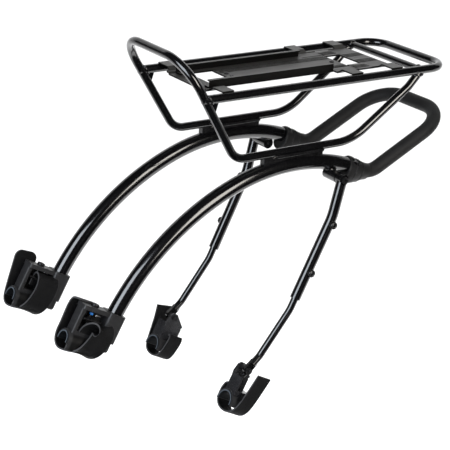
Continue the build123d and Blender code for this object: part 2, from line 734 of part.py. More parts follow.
def foot_bolt_place(name):
    """Where a strut's foot bolt stands in the side view, with that strut's lean."""
    angle = math.radians(STRUT_LEAN[name])
    x = FOOT_BOLT[0] - PIVOT[0]
    z = FOOT_BOLT[1] - PIVOT[1]
    turned = (x * math.cos(angle) + z * math.sin(angle), z * math.cos(angle) - x * math.sin(angle))
    return moved(PIVOT, turned, 1.0)


def build_strut_foot(name, side):
    """Write the pieces of one strut foot."""
    cradle = along_stay(-BOLT_S, 0, -BOLT_N, foot_bolt_place(name))
    foot = stay_plane((cradle[0], cradle[2]), side * STRUT_FOOT_Y)
    free_end = (-5.0, 3.0, 50.0) if side > 0 else (6.0, 9.0, 44.0)
    pad = cradle_pad((-15.5, 14.0), STRUT_CRADLE_R, 1.5)
    save(f"strut_bracket_{name}", place_foot(strut_bracket(), foot, side))
    save(f"strut_foot_bolt_{name}", place_foot(strut_foot_bolt(), foot, side))
    save(f"strut_cradle_{name}", place_foot(strut_cradle(), foot, side))
    save(f"strut_cradle_pad_{name}", place_foot(pad, foot, side))
    save(f"strut_strap_{name}", place_foot(strut_strap(free_end), foot, side))


def build_arc_foot(name, side):
    """Write the pieces of one arc foot."""
    foot = stay_plane((0.0, 0.0), side * ARC_Y)
    free_end = [(13.3, 56.0)] if side > 0 else [(13.3, 48.0), (5.8, 48.0)]
    leads = [(0.0, 0.0), (0.45, 0.0), (0.75, -9.0), (1.0, -14.0)]
    socket = tube(arc_path(side * ARC_Y), ARC_R)
    save(f"arc_foot_{name}", foot * arc_foot_block() - socket)
    save(f"arc_foot_pad_{name}", foot * cradle_pad((FOOT_FRONT - 4.0, 22.0), CRADLE_R, 2.0))
    save(f"tension_screw_{name}", foot * tension_screw())
    save(f"strap_anchor_{name}", foot * strap_anchor())
    save(f"arc_strap_{name}", foot * arc_strap(free_end, leads))


build_deck()
for side_name, side_sign in SIDES.items():
    build_side(side_name, side_sign)
    build_strut_foot(side_name, side_sign)
    build_arc_foot(side_name, side_sign)
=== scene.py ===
import json
import math

import bpy
from bpy.props import FloatProperty, FloatVectorProperty, PointerProperty
from bpy.types import Operator, Panel, PropertyGroup
from mathutils import Matrix, Vector


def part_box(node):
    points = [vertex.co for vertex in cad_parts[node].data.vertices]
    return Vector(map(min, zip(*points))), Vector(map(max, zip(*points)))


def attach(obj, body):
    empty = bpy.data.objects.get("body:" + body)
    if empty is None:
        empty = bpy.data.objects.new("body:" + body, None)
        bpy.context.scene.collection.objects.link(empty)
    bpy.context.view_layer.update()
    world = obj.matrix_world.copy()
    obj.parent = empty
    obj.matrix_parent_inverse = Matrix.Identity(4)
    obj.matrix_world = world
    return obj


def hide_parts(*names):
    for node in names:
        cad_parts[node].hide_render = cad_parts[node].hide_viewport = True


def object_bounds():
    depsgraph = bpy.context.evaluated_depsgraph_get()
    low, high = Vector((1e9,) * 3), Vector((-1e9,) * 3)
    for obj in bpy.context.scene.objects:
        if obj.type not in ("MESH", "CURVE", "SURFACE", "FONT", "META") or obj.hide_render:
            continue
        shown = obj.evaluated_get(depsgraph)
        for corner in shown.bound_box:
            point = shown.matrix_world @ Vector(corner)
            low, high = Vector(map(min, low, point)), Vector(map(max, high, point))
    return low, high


bl_info = {
    "name": "Strap-on rear rack",
    "version": (1, 0, 0),
    "blender": (4, 5, 0),
    "location": "View3D > Sidebar > Rack",
    "description": "Finishes a bicycle rear rack: painted tubes, bag track, rubber loop, feet and straps",
    "category": "Object",
}

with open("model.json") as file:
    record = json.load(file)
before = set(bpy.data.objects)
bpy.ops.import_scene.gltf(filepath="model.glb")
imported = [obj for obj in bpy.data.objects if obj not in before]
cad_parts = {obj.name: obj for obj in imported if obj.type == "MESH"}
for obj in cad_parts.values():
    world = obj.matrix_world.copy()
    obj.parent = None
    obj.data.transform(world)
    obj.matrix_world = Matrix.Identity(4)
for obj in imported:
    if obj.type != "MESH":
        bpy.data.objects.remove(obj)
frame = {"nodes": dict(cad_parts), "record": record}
CAD_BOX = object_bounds()
NODES = frame["nodes"]
MOUNTS = {mount["name"]: mount for mount in frame["record"]["mounts"]}
SIDES = {"left": -1, "right": 1}
STAY_ANGLE = math.radians(28.0)
STAY_ALONG = (math.cos(STAY_ANGLE), 0.0, -math.sin(STAY_ANGLE))
STAY_NORMAL = (math.sin(STAY_ANGLE), 0.0, math.cos(STAY_ANGLE))
AXIS_X, AXIS_Y, AXIS_Z = Vector((1, 0, 0)), Vector((0, 1, 0)), Vector((0, 0, 1))


# ---------------------------------------------------------------- settings


def length(name, description, default):
    """A length property in metres."""
    return FloatProperty(name=name, description=description, default=default, unit="LENGTH", precision=4)


def colour(name, description, default):
    """A colour property."""
    return FloatVectorProperty(
        name=name, description=description, default=default, subtype="COLOR", size=3, min=0.0, max=1.0
    )


class RackFinishSettings(PropertyGroup):
    """Colours of the rack's finishes."""

    paint: colour("Paint", "Gloss black of the tubes", (0.0018, 0.0018, 0.002))
    track: colour("Track", "Satin finish of the bag track", (0.014, 0.0135, 0.0125))
    rubber: colour("Rubber", "Cover of the rear loop", (0.0055, 0.0055, 0.0057))
    sleeve: colour("Sleeve", "Moulded sleeves", (0.006, 0.006, 0.0062))
    foot: colour("Foot", "Moulded feet", (0.0105, 0.0105, 0.0112))
    pad: colour("Pad", "Soft liners of the cradles", (0.03, 0.036, 0.043))
    strap: colour("Strap", "Textured straps", (0.0036, 0.0036, 0.0038))
    steel: colour("Fasteners", "Black oxide screws and bolts", (0.02, 0.02, 0.021))


class RackPieceSettings(PropertyGroup):
    """Sizes of the pieces made here."""

    strap_thickness: length("Strap thickness", "Thickness of the moulded straps", 0.0021)
    arc_strap_width: length("Front strap width", "Width of the straps at the front feet", 0.029)
    strut_strap_width: length("Strut strap width", "Width of the straps at the strut feet", 0.0205)
    edge_round: length("Edge rounding", "Rounding of moulded and cut edges", 0.0006)
    weld_bead: length("Weld bead", "Radius of the weld beads between tubes", 0.0011)


class RackStageSettings(PropertyGroup):
    """Camera, light and backdrop."""

    lens: FloatProperty(name="Lens", description="Focal length of the camera", default=118.8, unit="CAMERA")
    floor_drop: length("Floor drop", "Distance of the floor below the rack", 0.30)
    backdrop: colour("Backdrop", "Colour of floor and backdrop", (0.93, 0.93, 0.93))
    key_power: FloatProperty(
        name="Key power", description="Power in watts that each softbox takes its own part of", default=60.0, unit="POWER"
    )


# ---------------------------------------------------------------- mesh help


def new_mesh(name, verts, faces, body, finish):
    """A smooth mesh object that rides on a body."""
    mesh = bpy.data.meshes.new(name)
    mesh.from_pydata([tuple(v) for v in verts], [], faces)
    mesh.validate()
    for polygon in mesh.polygons:
        polygon.use_smooth = True
    piece = bpy.data.objects.new(name, mesh)
    bpy.context.scene.collection.objects.link(piece)
    mesh.materials.append(finish)
    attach(piece, body)
    return piece


def loft_rings(rings):
    """Vertices and faces of a skin over closed rings of equal length, capped at both ends."""
    count = len(rings[0])
    verts = [v for ring in rings for v in ring]
    faces = []
    for r in range(len(rings) - 1):
        for i in range(count):
            j = (i + 1) % count
            faces.append((r * count + i, r * count + j, (r + 1) * count + j, (r + 1) * count + i))
    last = (len(rings) - 1) * count
    faces.append(tuple(reversed(range(count))))
    faces.append(tuple(range(last, last + count)))
    return verts, faces


def smooth_line(points, per_span=8):
    """A cubic B-spline through the neighbourhood of the points, clamped at both ends."""
    padded = [points[0], points[0], *points, points[-1], points[-1]]
    line = []
    spans = len(padded) - 3
    for span in range(spans):
        p = padded[span : span + 4]
        for step in range(per_span + (span == spans - 1)):
            t = step / per_span
            weights = (
                (1 - t) ** 3 / 6,
                (3 * t**3 - 6 * t**2 + 4) / 6,
                (-3 * t**3 + 3 * t**2 + 3 * t + 1) / 6,
                t**3 / 6,
            )
            line.append(sum((Vector(q) * w for q, w in zip(p, weights)), Vector((0,) * len(p[0]))))
    return line


def run_lengths(line):
    """Distance from the start at each point of a line."""
    total = [0.0]
    for a, b in zip(line, line[1:]):
        total.append(total[-1] + (b - a).length)
    return total


def add_bevel(piece, width, segments=2, angle=35.0):
    """Rounds the edges of a piece."""
    bevel = piece.modifiers.new("rounded edges", "BEVEL")
    bevel.width = width
    bevel.segments = segments
    bevel.limit_method = "ANGLE"
    bevel.angle_limit = math.radians(angle)


# ---------------------------------------------------------------- materials


# Painted shade on the low part of a foot, under its strap: metres from the cradle axis, square to the stay and
# along it
PAINTED_SHADE_BELOW = 0.008
PAINTED_SHADE_FRONT = -0.0195
PAINTED_SHADE_REAR = 0.0165
PAINTED_SHADE_EDGE = 0.001
PAINTED_SHADE_FADE = 0.002


class Finish:
    """Builds one procedural material, node by node."""

    def __init__(self, name):
        old = bpy.data.materials.get(name)
        if old is not None:
            bpy.data.materials.remove(old)
        self.material = bpy.data.materials.new(name)
        self.material.use_nodes = True
        self.nodes = self.material.node_tree.nodes
        self.links = self.material.node_tree.links
        self.shader = self.nodes["Principled BSDF"]
        self.place = self.nodes.new("ShaderNodeTexCoord").outputs["Object"]

    def set(self, **values):
        """Sets constant values on the shader's sockets."""
        for key, value in values.items():
            self.shader.inputs[key.replace("_", " ")].default_value = value

    def join(self, output, target):
        """Links an output to an input."""
        self.links.new(output, target)

    def stretched(self, scale):
        """Object coordinates scaled by a vector."""
        mapping = self.nodes.new("ShaderNodeMapping")
        mapping.inputs["Scale"].default_value = scale
        self.join(self.place, mapping.inputs["Vector"])
        return mapping.outputs["Vector"]

    def noise(self, scale, detail=4.0, roughness=0.5, stretch=None):
        """Fractal noise with its scale in cycles per metre."""
        noise = self.nodes.new("ShaderNodeTexNoise")
        noise.inputs["Scale"].default_value = scale
        noise.inputs["Detail"].default_value = detail
        noise.inputs["Roughness"].default_value = roughness
        self.join(self.stretched(stretch) if stretch else self.place, noise.inputs["Vector"])
        return noise.outputs["Fac"]

    def spread(self, value, low, high, start=0.3, end=0.7):
        """Maps a value that runs from start to end onto low to high."""
        spread = self.nodes.new("ShaderNodeMapRange")
        for key, number in (("From Min", start), ("From Max", end), ("To Min", low), ("To Max", high)):
            spread.inputs[key].default_value = number
        self.join(value, spread.inputs["Value"])
        return spread.outputs["Result"]

    def math(self, kind, first, second):
        """Combines two values."""
        node = self.nodes.new("ShaderNodeMath")
        node.operation = kind
        for value, target in ((first, node.inputs[0]), (second, node.inputs[1])):
            if isinstance(value, (int, float)):
                target.default_value = value
            else:
                self.join(value, target)
        return node.outputs["Value"]

    def tint(self, value, dark, light, start=0.3, end=0.7):
        """A colour that runs from dark to light with a value."""
        ramp = self.nodes.new("ShaderNodeValToRGB")
        ramp.color_ramp.elements[0].position = start
        ramp.color_ramp.elements[0].color = (*dark, 1.0)
        ramp.color_ramp.elements[1].position = end
        ramp.color_ramp.elements[1].color = (*light, 1.0)
        self.join(value, ramp.inputs["Fac"])
        return ramp.outputs["Color"]

    def reach(self, direction):
        """Distance along a fixed direction of the piece, from the front cradle axis."""
        dot = self.nodes.new("ShaderNodeVectorMath")
        dot.operation = "DOT_PRODUCT"
        self.join(self.place, dot.inputs[0])
        dot.inputs[1].default_value = direction
        return dot.outputs["Value"]

    def facing(self, direction, grain):
        """How squarely the surface faces a fixed direction of the piece, with a little grain."""
        dot = self.nodes.new("ShaderNodeVectorMath")
        dot.operation = "DOT_PRODUCT"
        self.join(self.nodes.new("ShaderNodeTexCoord").outputs["Normal"], dot.inputs[0])
        dot.inputs[1].default_value = direction
        return self.math("ADD", dot.outputs["Value"], self.spread(grain, -0.05, 0.05))

    def blend(self, factor, colour, shade):
        """A plain colour that gives way to a shade as the factor grows."""
        mix = self.nodes.new("ShaderNodeMix")
        mix.data_type = "RGBA"
        self.join(factor, mix.inputs[0])
        mix.inputs[6].default_value = (*colour, 1.0)
        self.join(shade, mix.inputs[7])
        return mix.outputs[2]

    def bump(self, layers):
        """Stacks bump layers, each given as height, distance in metres and strength."""
        normal = None
        for height, distance, strength in layers:
            bump = self.nodes.new("ShaderNodeBump")
            bump.inputs["Distance"].default_value = distance
            bump.inputs["Strength"].default_value = strength
            self.join(height, bump.inputs["Height"])
            if normal is not None:
                self.join(normal, bump.inputs["Normal"])
            normal = bump.outputs["Normal"]
        self.join(normal, self.shader.inputs["Normal"])

    def colour(self, output):
        """Gives the shader its colour."""
        self.join(output, self.shader.inputs["Base Color"])

    def roughness(self, output):
        """Gives the shader its roughness."""
        self.join(output, self.shader.inputs["Roughness"])


def scaled(base, factor):
    """A colour made lighter or darker."""
    return tuple(min(1.0, channel * factor) for channel in base)


def gloss_paint(base):
    """Gloss black paint: faint orange peel, fine dust and a clear coat."""
    finish = Finish("gloss_black_paint")
    finish.colour(finish.tint(finish.noise(22.0, 5.0), scaled(base, 0.8), scaled(base, 1.35)))
    dust = finish.noise(950.0, 3.0, 0.7)
    cloud = finish.noise(30.0, 4.0, 0.6)
    finish.roughness(finish.math("ADD", finish.spread(dust, 0.0, 0.03), finish.spread(cloud, 0.12, 0.17)))
    finish.set(Coat_Weight=0.35, Coat_Roughness=0.07, Specular_IOR_Level=0.55)
    finish.bump([(finish.noise(160.0, 2.0), 0.0002, 0.035)])
    return finish.material


def anodised_track(base):
    """Matte anodised strip, with the fine draw lines of an extrusion along X, and painted shade on the faces that
    do not look up.
    """
    finish = Finish("track_grey")
    lines = finish.noise(1.0, 6.0, 0.6, stretch=(14.0, 1900.0, 1900.0))
    stain = finish.noise(26.0, 5.0, 0.6)
    mixed = finish.math("ADD", finish.math("MULTIPLY", lines, 0.6), finish.math("MULTIPLY", stain, 0.4))
    shade = finish.tint(mixed, scaled(base, 0.62), scaled(base, 1.15))
    # Painted shade: faces that do not look up, such as the channel walls, darken to near black
    walls = finish.facing((0.0, 0.0, 1.0), lines)
    finish.colour(finish.blend(finish.spread(walls, 0.0, 1.0, 0.35, 0.85), scaled(base, 0.12), shade))
    finish.roughness(finish.spread(lines, 0.34, 0.5))
    finish.join(finish.spread(walls, 0.12, 0.42, 0.35, 0.85), finish.shader.inputs["Specular IOR Level"])
    finish.bump([(lines, 0.00008, 0.35), (finish.noise(3200.0, 2.0), 0.00004, 0.25)])
    return finish.material


def soft_rubber(base):
    """Matte rubber with a soft skin, faint creases and handling marks."""
    finish = Finish("loop_rubber")
    marks = finish.noise(40.0, 6.0, 0.65)
    finish.colour(finish.tint(marks, scaled(base, 0.75), scaled(base, 1.5)))
    finish.roughness(finish.spread(marks, 0.5, 0.66))
    finish.set(Specular_IOR_Level=0.18)
    creases = finish.noise(60.0, 3.0, 0.5, stretch=(2.4, 1.0, 1.0))
    finish.bump([(creases, 0.0012, 0.16), (finish.noise(1700.0, 3.0, 0.6), 0.0001, 0.3)])
    return finish.material


def moulded_plastic(name, base, rough, gloss, grain=1400.0, shade_below=None):
    """Moulded plastic with a spark-eroded grain, and painted shade under the strap below a given height."""
    finish = Finish(name)
    flow = finish.noise(35.0, 5.0, 0.6)
    shade = finish.tint(flow, scaled(base, 0.8), scaled(base, 1.25))
    if shade_below is not None:
        # Painted shade: below the given height and between the strap's front and rear edges, the colour turns dark
        height = finish.math("ADD", finish.reach(STAY_NORMAL), finish.spread(flow, -0.0004, 0.0004))
        above = finish.spread(height, 0.0, 1.0, shade_below, shade_below + PAINTED_SHADE_FADE)
        front = finish.spread(finish.reach(STAY_ALONG), 1.0, 0.0, PAINTED_SHADE_FRONT, PAINTED_SHADE_FRONT + PAINTED_SHADE_EDGE)
        rear = finish.spread(finish.reach(STAY_ALONG), 0.0, 1.0, PAINTED_SHADE_REAR, PAINTED_SHADE_REAR + PAINTED_SHADE_EDGE)
        unshaded = finish.math("MAXIMUM", finish.math("MAXIMUM", above, front), rear)
        shade = finish.blend(unshaded, scaled(base, 0.2), shade)
    finish.colour(shade)
    finish.roughness(finish.spread(finish.noise(300.0, 4.0), rough - 0.06, rough + 0.08))
    finish.set(Specular_IOR_Level=gloss)
    finish.bump([(finish.noise(grain, 3.0, 0.6), 0.00012, 0.3)])
    return finish.material


def cradle_liner(base):
    """Soft liner: pale on the faces that look to the front, and darkened with painted shade on all other faces,
    the inside too.
    """
    finish = Finish("pad_grey")
    grain = finish.noise(900.0, 3.0, 0.6)
    # Painted shade: faces that do not look forward are darkened, the inside too
    looks_forward = finish.facing([-value for value in STAY_ALONG], grain)
    finish.colour(finish.tint(looks_forward, scaled(base, 0.14), scaled(base, 1.7), 0.55, 0.9))
    finish.roughness(finish.spread(grain, 0.42, 0.6))
    finish.set(Specular_IOR_Level=0.12)
    finish.bump([(grain, 0.0001, 0.25)])
    return finish.material


def textured_strap(base):
    """Strap with a fine moulded diamond texture along its own length, and a painted highlight along its edges and
    ends.
    """
    finish = Finish("strap_webbing")
    along = finish.nodes.new("ShaderNodeUVMap")
    heights = []
    for turn in (45.0, -45.0):
        mapping = finish.nodes.new("ShaderNodeMapping")
        mapping.inputs["Rotation"].default_value = (0.0, 0.0, math.radians(turn))
        finish.join(along.outputs["UV"], mapping.inputs["Vector"])
        wave = finish.nodes.new("ShaderNodeTexWave")
        wave.inputs["Scale"].default_value = 260.0
        wave.inputs["Distortion"].default_value = 0.25
        finish.join(mapping.outputs["Vector"], wave.inputs["Vector"])
        heights.append(wave.outputs["Fac"])
    diamonds = finish.math("MAXIMUM", heights[0], heights[1])
    wear = finish.noise(90.0, 5.0, 0.65)
    mixed = finish.math("MULTIPLY", diamonds, finish.spread(wear, 0.55, 1.0))
    shade = finish.tint(mixed, scaled(base, 0.5), scaled(base, 1.9), 0.2, 0.95)
    # Painted highlight: the strap's edges and ends take a colour nine times lighter than the rest
    edge = finish.nodes.new("ShaderNodeAttribute")
    edge.attribute_name = "painted_edge_highlight"
    middle = finish.spread(edge.outputs["Fac"], 1.0, 0.0, 0.35, 1.0)
    finish.colour(finish.blend(middle, scaled(base, 9.0), shade))
    finish.roughness(finish.spread(wear, 0.5, 0.68))
    finish.set(Specular_IOR_Level=0.06)
    finish.bump([(diamonds, 0.00022, 0.5), (finish.noise(2000.0, 2.0), 0.00006, 0.3)])
    return finish.material


def black_oxide(base):
    """Black oxide steel."""
    finish = Finish("black_steel")
    cloud = finish.noise(260.0, 4.0)
    finish.colour(finish.tint(cloud, scaled(base, 0.7), scaled(base, 1.6)))
    finish.roughness(finish.spread(cloud, 0.28, 0.45))
    finish.set(Metallic=0.85)
    finish.bump([(finish.noise(1500.0, 3.0), 0.00005, 0.25)])
    return finish.material


def satin_sheet(name, base):
    """Satin black paint on pressed sheet."""
    finish = Finish(name)
    cloud = finish.noise(60.0, 4.0)
    finish.colour(finish.tint(cloud, scaled(base, 1.0), scaled(base, 2.2)))
    finish.roughness(finish.spread(cloud, 0.22, 0.27))
    finish.set(Specular_IOR_Level=0.5)
    return finish.material


def thread_lock(base):
    """Dried thread-lock patch on a screw."""
    finish = Finish("thread_lock_blue")
    grain = finish.noise(700.0, 3.0)
    finish.colour(finish.tint(grain, scaled(base, 0.7), scaled(base, 1.4)))
    finish.roughness(finish.spread(grain, 0.4, 0.6))
    finish.bump([(grain, 0.0001, 0.4)])
    return finish.material


def bare_steel():
    """Bright plated steel of the strap's catch."""
    finish = Finish("plated_steel")
    brushed = finish.noise(1.0, 4.0, 0.6, stretch=(300.0, 2600.0, 2600.0))
    finish.colour(finish.tint(brushed, (0.5, 0.5, 0.5), (0.78, 0.78, 0.79)))
    finish.roughness(finish.spread(brushed, 0.22, 0.4))
    finish.set(Metallic=1.0)
    finish.bump([(brushed, 0.00004, 0.2)])
    return finish.material


def studio_paper(base):
    """Pale backdrop paper."""
    finish = Finish("backdrop_paper")
    fibre = finish.noise(90.0, 4.0)
    finish.colour(finish.tint(fibre, scaled(base, 0.985), base))
    finish.roughness(finish.spread(fibre, 0.85, 0.95))
    finish.set(Specular_IOR_Level=0.06)
    return finish.material


def material(name):
    """A finish made by the finishes operator."""
    found = bpy.data.materials.get(name)
    if found is None:
        raise RuntimeError(f"finish {name} is missing: make the finishes first")
    return found


# ---------------------------------------------------------------- stage


CAMERA_ANGLES = (-34.17, 21.01, 2.59)
CAMERA_PLACE = (-0.7101, -1.3896, 0.7224)
WORLD_STRENGTH = 0.72
VIEW_AHEAD = Vector((0.5615, 0.8275, 0.0))
VIEW_ACROSS = Vector((0.8275, -0.5615, 0.0))
SWEEP_REACH = 2.2
SWEEP_ROUND = 1.2
SWEEP_STEPS = 12
SWEEP_TOP = 5.0
PAPER_HALF_WIDTH = 6.0
# Name, (azimuth, elevation, distance), size, part of the key power, colour, seen in reflections
SOFTBOXES = (
    ("front_softbox", (-160.0, 20.0, 1.8), (1.15, 1.3), 0.66, (0.86, 0.92, 1.0), True),
    ("side_softbox", (-83.0, 20.0, 1.8), (0.66, 1.15), 0.42, (1.0, 0.95, 0.88), True),
    ("overhead_softbox", (-60.0, 72.0, 1.9), (1.6, 1.6), 0.8, (1.0, 1.0, 1.0), False),
)


class RACK_OT_stage(Operator):
    """Set the camera, the softboxes, the world and the pale backdrop"""

    bl_idname = "rack.stage"
    bl_label = "Stage"

    def execute(self, context):
        settings = context.scene.rack_stage
        self.place_camera(context, settings)
        self.place_backdrop(context, settings)
        self.place_lights(context, settings)
        world = bpy.data.worlds.new("studio")
        world.use_nodes = True
        background = world.node_tree.nodes["Background"]
        background.inputs["Color"].default_value = (1.0, 1.0, 1.0, 1.0)
        background.inputs["Strength"].default_value = WORLD_STRENGTH
        world.cycles_visibility.glossy = False
        context.scene.world = world
        context.scene.view_settings.view_transform = "Standard"
        return {"FINISHED"}

    def place_camera(self, context, settings):
        """Places the camera and makes it the scene's own."""
        azimuth, elevation, roll = (math.radians(angle) for angle in CAMERA_ANGLES)
        back = Vector(
            (
                math.sin(azimuth) * math.cos(elevation),
                -math.cos(azimuth) * math.cos(elevation),
                math.sin(elevation),
            )
        )
        level = Vector((math.cos(azimuth), math.sin(azimuth), 0.0))
        upright = back.cross(level)
        right = level * math.cos(roll) + upright * math.sin(roll)
        up = upright * math.cos(roll) - level * math.sin(roll)
        camera = bpy.data.cameras.new("camera")
        camera.lens = settings.lens
        camera.sensor_width = 36.0
        camera.clip_end = 20.0
        holder = bpy.data.objects.new("camera", camera)
        turn = Matrix((right, up, back)).transposed().to_4x4()
        holder.matrix_world = Matrix.Translation(CAMERA_PLACE) @ turn
        context.scene.collection.objects.link(holder)
        context.scene.camera = holder

    def place_backdrop(self, context, settings):
        """Makes the floor that curves up into a wall, and the floor in front."""
        floor_z = CAD_BOX[0].z - settings.floor_drop
        sweep = [(0.0, 0.0), (SWEEP_REACH, 0.0)]
        for step in range(1, SWEEP_STEPS + 1):
            angle = math.radians(90.0 * step / SWEEP_STEPS)
            reach = SWEEP_REACH + SWEEP_ROUND * math.sin(angle)
            sweep.append((reach, SWEEP_ROUND - SWEEP_ROUND * math.cos(angle)))
        sweep.append((SWEEP_REACH + SWEEP_ROUND, SWEEP_TOP))
        paper = studio_paper(tuple(settings.backdrop))
        self.paper_sheet(context, "backdrop", sweep, floor_z, paper)
        front = self.paper_sheet(context, "floor_front", [(-4.0, 0.0), (0.0, 0.0)], floor_z, paper)
        front.visible_glossy = False

    def paper_sheet(self, context, name, profile, floor_z, paper):
        """Makes a wide sheet from its profile, given as reach and rise."""
        verts = []
        for reach, rise in profile:
            for side in (-PAPER_HALF_WIDTH, PAPER_HALF_WIDTH):
                verts.append(tuple(VIEW_AHEAD * reach + VIEW_ACROSS * side + Vector((0, 0, floor_z + rise))))
        faces = [(2 * i, 2 * i + 1, 2 * i + 3, 2 * i + 2) for i in range(len(profile) - 1)]
        mesh = bpy.data.meshes.new(name)
        mesh.from_pydata(verts, [], faces)
        for polygon in mesh.polygons:
            polygon.use_smooth = True
        mesh.materials.append(paper)
        sheet = bpy.data.objects.new(name, mesh)
        context.scene.collection.objects.link(sheet)
        return sheet

    def place_lights(self, context, settings):
        """Places the softboxes round the middle of the rack."""
        middle = (CAD_BOX[0] + CAD_BOX[1]) / 2
        for name, (azimuth, elevation, distance), size, share, tint, glossy in SOFTBOXES:
            lamp = bpy.data.lights.new(name, "AREA")
            lamp.shape = "RECTANGLE"
            lamp.size, lamp.size_y = size
            lamp.energy = settings.key_power * share
            lamp.color = tint
            holder = bpy.data.objects.new(name, lamp)
            level, upright = math.radians(azimuth), math.radians(elevation)
            flat = math.cos(upright)
            reach = Vector((math.cos(level) * flat, math.sin(level) * flat, math.sin(upright)))
            turn = (-reach).to_track_quat("-Z", "Y").to_matrix().to_4x4()
            holder.matrix_world = Matrix.Translation(middle + reach * distance) @ turn
            holder.visible_camera = False
            holder.visible_glossy = glossy
            context.scene.collection.objects.link(holder)


# ---------------------------------------------------------------- finishes


class RACK_OT_finishes(Operator):
    """Make the finishes and give each CAD piece its own"""

    bl_idname = "rack.finishes"
    bl_label = "Finishes"

    def execute(self, context):
        settings = context.scene.rack_finish
        made = {
            "gloss_black_paint": gloss_paint(tuple(settings.paint)),
            "track_grey": anodised_track(tuple(settings.track)),
            "loop_rubber": soft_rubber(tuple(settings.rubber)),
            "sleeve_plastic": moulded_plastic("sleeve_plastic", tuple(settings.sleeve), 0.4, 0.2),
            # The feet take painted shade low under their straps
            "foot_plastic": moulded_plastic(
                "foot_plastic", tuple(settings.foot), 0.42, 0.3, shade_below=PAINTED_SHADE_BELOW
            ),
            "pad_grey": cradle_liner(tuple(settings.pad)),
            "strap_webbing": textured_strap(tuple(settings.strap)),
            "black_steel": black_oxide(tuple(settings.steel)),
        }
        thread_lock((0.01, 0.13, 0.42))
        bare_steel()
        slots = {part["node"]: part["material_slot"] for part in frame["record"]["subparts"]}
        rounded = ("arc_foot", "strut_bracket", "side_bracket", "strut_cradle", "cross_plate", "track_channel")
        saddle = satin_sheet("saddle_paint", tuple(settings.paint))
        sheet = satin_sheet("bracket_paint", scaled(settings.paint, 4.0))
        for name, node in NODES.items():
            node.data.materials.clear()
            pressed = {"strut_bracket": sheet, "side_bracket": saddle}.get(name.rsplit("_", 1)[0])
            node.data.materials.append(pressed or made[slots[name]])
            if any(name.startswith(key) or key in name for key in rounded) and "pad" not in name:
                add_bevel(node, context.scene.rack_pieces.edge_round)
        return {"FINISHED"}


# ---------------------------------------------------------------- straps


class FootFrame:
    """Axes of a foot: s along the stay, w sideways away from the middle, n square to the stay."""

    def __init__(self, mount, shift, side=1):
        self.along = Vector(STAY_ALONG)
        self.normal = Vector(STAY_NORMAL)
        self.side = Vector((0.0, side, 0.0))
        self.origin = Vector(MOUNTS[mount]["pos_m"]) - self.along * shift

    def at(self, s, w, n):
        """A point given in the foot's own axes, in metres."""
        return self.origin + self.along * s + self.side * w + self.normal * n


def strap_line(stations):
    """Smooth middle line of a strap from (s, w, n) stations in millimetres."""
    return smooth_line([tuple(value / 1000 for value in station) for station in stations])


# How far a mount is along the stay from its foot's own origin
FRONT_FOOT_SHIFT = -0.0015
STRUT_FOOT_SHIFT = -0.00075
# Length of a strap's end that may run skew
SKEW_LENGTH = 0.02
# Places across a strap, from edge to edge
STRAP_COLUMNS = (-1.0, -0.94, -0.7, -0.35, 0.0, 0.35, 0.7, 0.94, 1.0)


def strap_mesh(foot, stations, width, thickness, round_start, round_end, skew_end=0.0):
    """Closed strap body with rounded ends; its own length and width are kept as UVs."""
    line = strap_line(stations)
    lengths = run_lengths(line)
    total = lengths[-1]
    rows = []
    for index, (point, run) in enumerate(zip(line, lengths)):
        before = line[max(0, index - 1)]
        after = line[min(len(line) - 1, index + 1)]
        heading = (after - before).normalized()
        cross = (AXIS_X - heading * AXIS_X.dot(heading)).normalized()
        up = heading.cross(cross)
        half = width / 2
        for rounding, left in ((round_start, run), (round_end, total - run)):
            if rounding and left < rounding:
                bow = math.sqrt(max(0.0, rounding**2 - (rounding - left) ** 2))
                half = min(half, width / 2 - rounding + bow)
        slide = skew_end * max(0.0, 1 - (total - run) / SKEW_LENGTH) ** 2
        row = []
        for v in STRAP_COLUMNS:
            row.append((point + cross * (v * half + slide * v), up, (run, v * half)))
        rows.append(row)
    verts, coords = [], []
    for row in rows:
        ring = []
        for place, up, uv in row:
            ring.append((place + up * thickness / 2, uv))
        for place, up, uv in reversed(row):
            ring.append((place - up * thickness / 2, uv))
        verts.append([foot.at(*p) for p, _ in ring])
        coords.append([uv for _, uv in ring])
    points, faces = loft_rings(verts)
    flat = [uv for ring in coords for uv in ring]
    return points, faces, flat


def make_strap(name, node, foot, stations, width, thickness, body, round_start=0.0, round_end=0.0, skew_end=0.0):
    """A moulded strap that stands for its CAD band."""
    verts, faces, coords = strap_mesh(foot, stations, width, thickness, round_start, round_end, skew_end)
    piece = new_mesh(name, verts, faces, body, material("strap_webbing"))
    layer = piece.data.uv_layers.new(name="along")
    for loop in piece.data.loops:
        layer.data[loop.index].uv = coords[loop.vertex_index]
    # Marks the edge columns and end rows that carry the painted highlight
    edge = piece.data.attributes.new("painted_edge_highlight", "FLOAT", "POINT")
    ring = 2 * len(STRAP_COLUMNS)
    highlight_columns = (0, len(STRAP_COLUMNS) - 1, len(STRAP_COLUMNS), ring - 1)
    for vertex in range(len(verts)):
        last = vertex // ring in (0, len(verts) // ring - 1)
        edge.data[vertex].value = 1.0 if last or vertex % ring in highlight_columns else 0.0
    add_bevel(piece, thickness * 0.3, 2, 50.0)
    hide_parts(node)


